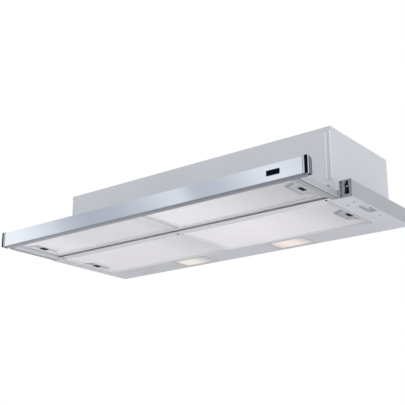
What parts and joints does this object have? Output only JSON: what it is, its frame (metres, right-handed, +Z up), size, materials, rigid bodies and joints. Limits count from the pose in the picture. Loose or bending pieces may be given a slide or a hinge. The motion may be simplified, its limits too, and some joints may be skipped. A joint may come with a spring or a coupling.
{
  "type": "pull out range hood",
  "caption": "Wide slide-out cooker hood: steel body on a winged base frame, shallow drawer with a brushed fascia, aluminium grease filters, lamps and slider controls.",
  "frame": {"origin": "centre of the body's back face, on the wall plane, at the level of the cabinet's underside that the wings seat against", "axes": "+X to the user's right, -Y towards the user, +Z up; at rest the drawer is pulled out 148 mm"},
  "size_m": [0.898, 0.4562, 0.2143],
  "materials": {
    "grey_paint": "satin light grey paint on steel sheet",
    "dark_grey_paint": "satin mid grey paint on steel sheet",
    "brushed_steel": "steel brushed along its length",
    "grey_plastic": "satin grey moulded plastic",
    "dark_grey_plastic": "satin grey moulded plastic",
    "filter_aluminium": "plain rolled aluminium",
    "mesh_aluminium": "expanded aluminium mesh in layers",
    "black_plastic": "black moulded plastic",
    "warm_lens": "frosted, lit warm white",
    "bulb_glass": "frosted glass",
    "galvanised_steel": "zinc plated",
    "flap_aluminium": "rolled sheet",
    "impeller_plastic": "moulded plastic",
    "white_plastic": "moulded plastic"
  },
  "bodies": {
    "housing": {"base_plate": "grey_paint", "blower_scroll": "white_plastic", "body_back_panel": "grey_paint", "body_front_panel": "grey_paint", "body_side_panel_left": "grey_paint", "body_side_panel_right": "grey_paint", "body_top_panel": "grey_paint", "cable_gland": "black_plastic", "control_faceplate": "dark_grey_plastic", "control_housing": "black_plastic", "drawer_microswitch": "black_plastic", "duct_collar": "galvanised_steel", "front_crossbar": "grey_paint", "front_upstand": "grey_paint", "lamp_bulb_left": "bulb_glass", "lamp_bulb_right": "bulb_glass", "lamp_housing_left": "white_plastic", "lamp_housing_right": "white_plastic", "lamp_lens_left": "warm_lens", "lamp_lens_right": "warm_lens", "motor_body": "galvanised_steel", "motor_bracket": "galvanised_steel", "motor_capacitor": "white_plastic", "rail_outer_left": "galvanised_steel", "rail_outer_right": "galvanised_steel", "rear_filter_divider": "grey_paint", "service_panel": "grey_paint", "terminal_box": "white_plastic", "wing_shell_left": "dark_grey_paint", "wing_shell_right": "dark_grey_paint"},
    "drawer": {"fascia_panel": "brushed_steel", "end_cap_left": "grey_plastic", "end_cap_right": "grey_plastic", "blank_badge": "black_plastic", "drawer_frame": "grey_paint", "drawer_top_cover": "grey_paint", "drawer_arm_left": "grey_paint", "drawer_arm_right": "grey_paint", "rail_inner_left": "galvanised_steel", "rail_inner_right": "galvanised_steel"},
    "slide_middle_left": {"rail_middle_left": "galvanised_steel"},
    "slide_middle_right": {"rail_middle_right": "galvanised_steel"},
    "filter_rear_left": {"filter_frame_rear_left": "filter_aluminium", "filter_mesh_rear_left": "mesh_aluminium"},
    "latch_rear_left": {"latch_knob_rear_left": "black_plastic"},
    "filter_rear_right": {"filter_frame_rear_right": "filter_aluminium", "filter_mesh_rear_right": "mesh_aluminium"},
    "latch_rear_right": {"latch_knob_rear_right": "black_plastic"},
    "filter_front_left": {"filter_frame_front_left": "filter_aluminium", "filter_mesh_front_left": "mesh_aluminium"},
    "latch_front_left": {"latch_knob_front_left": "black_plastic"},
    "filter_front_right": {"filter_frame_front_right": "filter_aluminium", "filter_mesh_front_right": "mesh_aluminium"},
    "latch_front_right": {"latch_knob_front_right": "black_plastic"},
    "light_switch": {"light_slider": "black_plastic"},
    "speed_switch": {"speed_slider": "black_plastic"},
    "rotor": {"impeller": "impeller_plastic", "motor_shaft": "galvanised_steel"},
    "damper_rear": {"damper_flap_rear": "flap_aluminium"},
    "damper_front": {"damper_flap_front": "flap_aluminium"}
  },
  "joints": [
    {"name": "drawer_slide", "type": "slide", "parent": "housing", "child": "drawer", "axis": [0, -1, 0], "range_m": [-0.148, 0]},
    {"name": "rail_middle_slide_left", "type": "slide", "parent": "housing", "child": "slide_middle_left", "axis": [0, -1, 0], "range_m": [-0.074, 0]},
    {"name": "rail_middle_slide_right", "type": "slide", "parent": "housing", "child": "slide_middle_right", "axis": [0, -1, 0], "range_m": [-0.074, 0]},
    {"name": "filter_hinge_rear_left", "type": "hinge", "parent": "housing", "child": "filter_rear_left", "pos_m": [-0.0125, -0.1745, -0.038], "axis": [0, -1, 0], "range_deg": [0, 75]},
    {"name": "latch_slide_rear_left", "type": "slide", "parent": "filter_rear_left", "child": "latch_rear_left", "axis": [1, 0, 0], "range_m": [0, 0.005], "stiffness_N_per_m": 300, "springref_m": -0.005},
    {"name": "filter_hinge_rear_right", "type": "hinge", "parent": "housing", "child": "filter_rear_right", "pos_m": [-0.0095, -0.1745, -0.038], "axis": [0, 1, 0], "range_deg": [0, 75]},
    {"name": "latch_slide_rear_right", "type": "slide", "parent": "filter_rear_right", "child": "latch_rear_right", "axis": [-1, 0, 0], "range_m": [0, 0.005], "stiffness_N_per_m": 300, "springref_m": -0.005},
    {"name": "filter_hinge_front_left", "type": "hinge", "parent": "drawer", "child": "filter_front_left", "pos_m": [-0.0086, -0.363, -0.031], "axis": [0, -1, 0], "range_deg": [0, 75]},
    {"name": "latch_slide_front_left", "type": "slide", "parent": "filter_front_left", "child": "latch_front_left", "axis": [1, 0, 0], "range_m": [0, 0.005], "stiffness_N_per_m": 300, "springref_m": -0.005},
    {"name": "filter_hinge_front_right", "type": "hinge", "parent": "drawer", "child": "filter_front_right", "pos_m": [0.0086, -0.363, -0.031], "axis": [0, 1, 0], "range_deg": [0, 75]},
    {"name": "latch_slide_front_right", "type": "slide", "parent": "filter_front_right", "child": "latch_front_right", "axis": [-1, 0, 0], "range_m": [0, 0.005], "stiffness_N_per_m": 300, "springref_m": -0.005},
    {"name": "light_slide", "type": "slide", "parent": "housing", "child": "light_switch", "axis": [0, 0, 1], "range_m": [0, 0.006]},
    {"name": "speed_slide", "type": "slide", "parent": "housing", "child": "speed_switch", "axis": [0, 0, 1], "range_m": [0, 0.008]},
    {"name": "blower_spin", "type": "hinge", "parent": "housing", "child": "rotor", "pos_m": [0, -0.162, 0.06], "axis": [1, 0, 0], "continuous": true},
    {"name": "damper_hinge_rear", "type": "hinge", "parent": "housing", "child": "damper_rear", "pos_m": [0, -0.10857, 0.146], "axis": [1, 0, 0], "range_deg": [0, 80]},
    {"name": "damper_hinge_front", "type": "hinge", "parent": "housing", "child": "damper_front", "pos_m": [0, -0.11377, 0.146], "axis": [-1, 0, 0], "range_deg": [0, 80]}
  ],
  "couplings": [
    {"joint": "rail_middle_slide_left", "follows": "drawer_slide", "ratio": 0.5},
    {"joint": "rail_middle_slide_right", "follows": "drawer_slide", "ratio": 0.5}
  ]
}
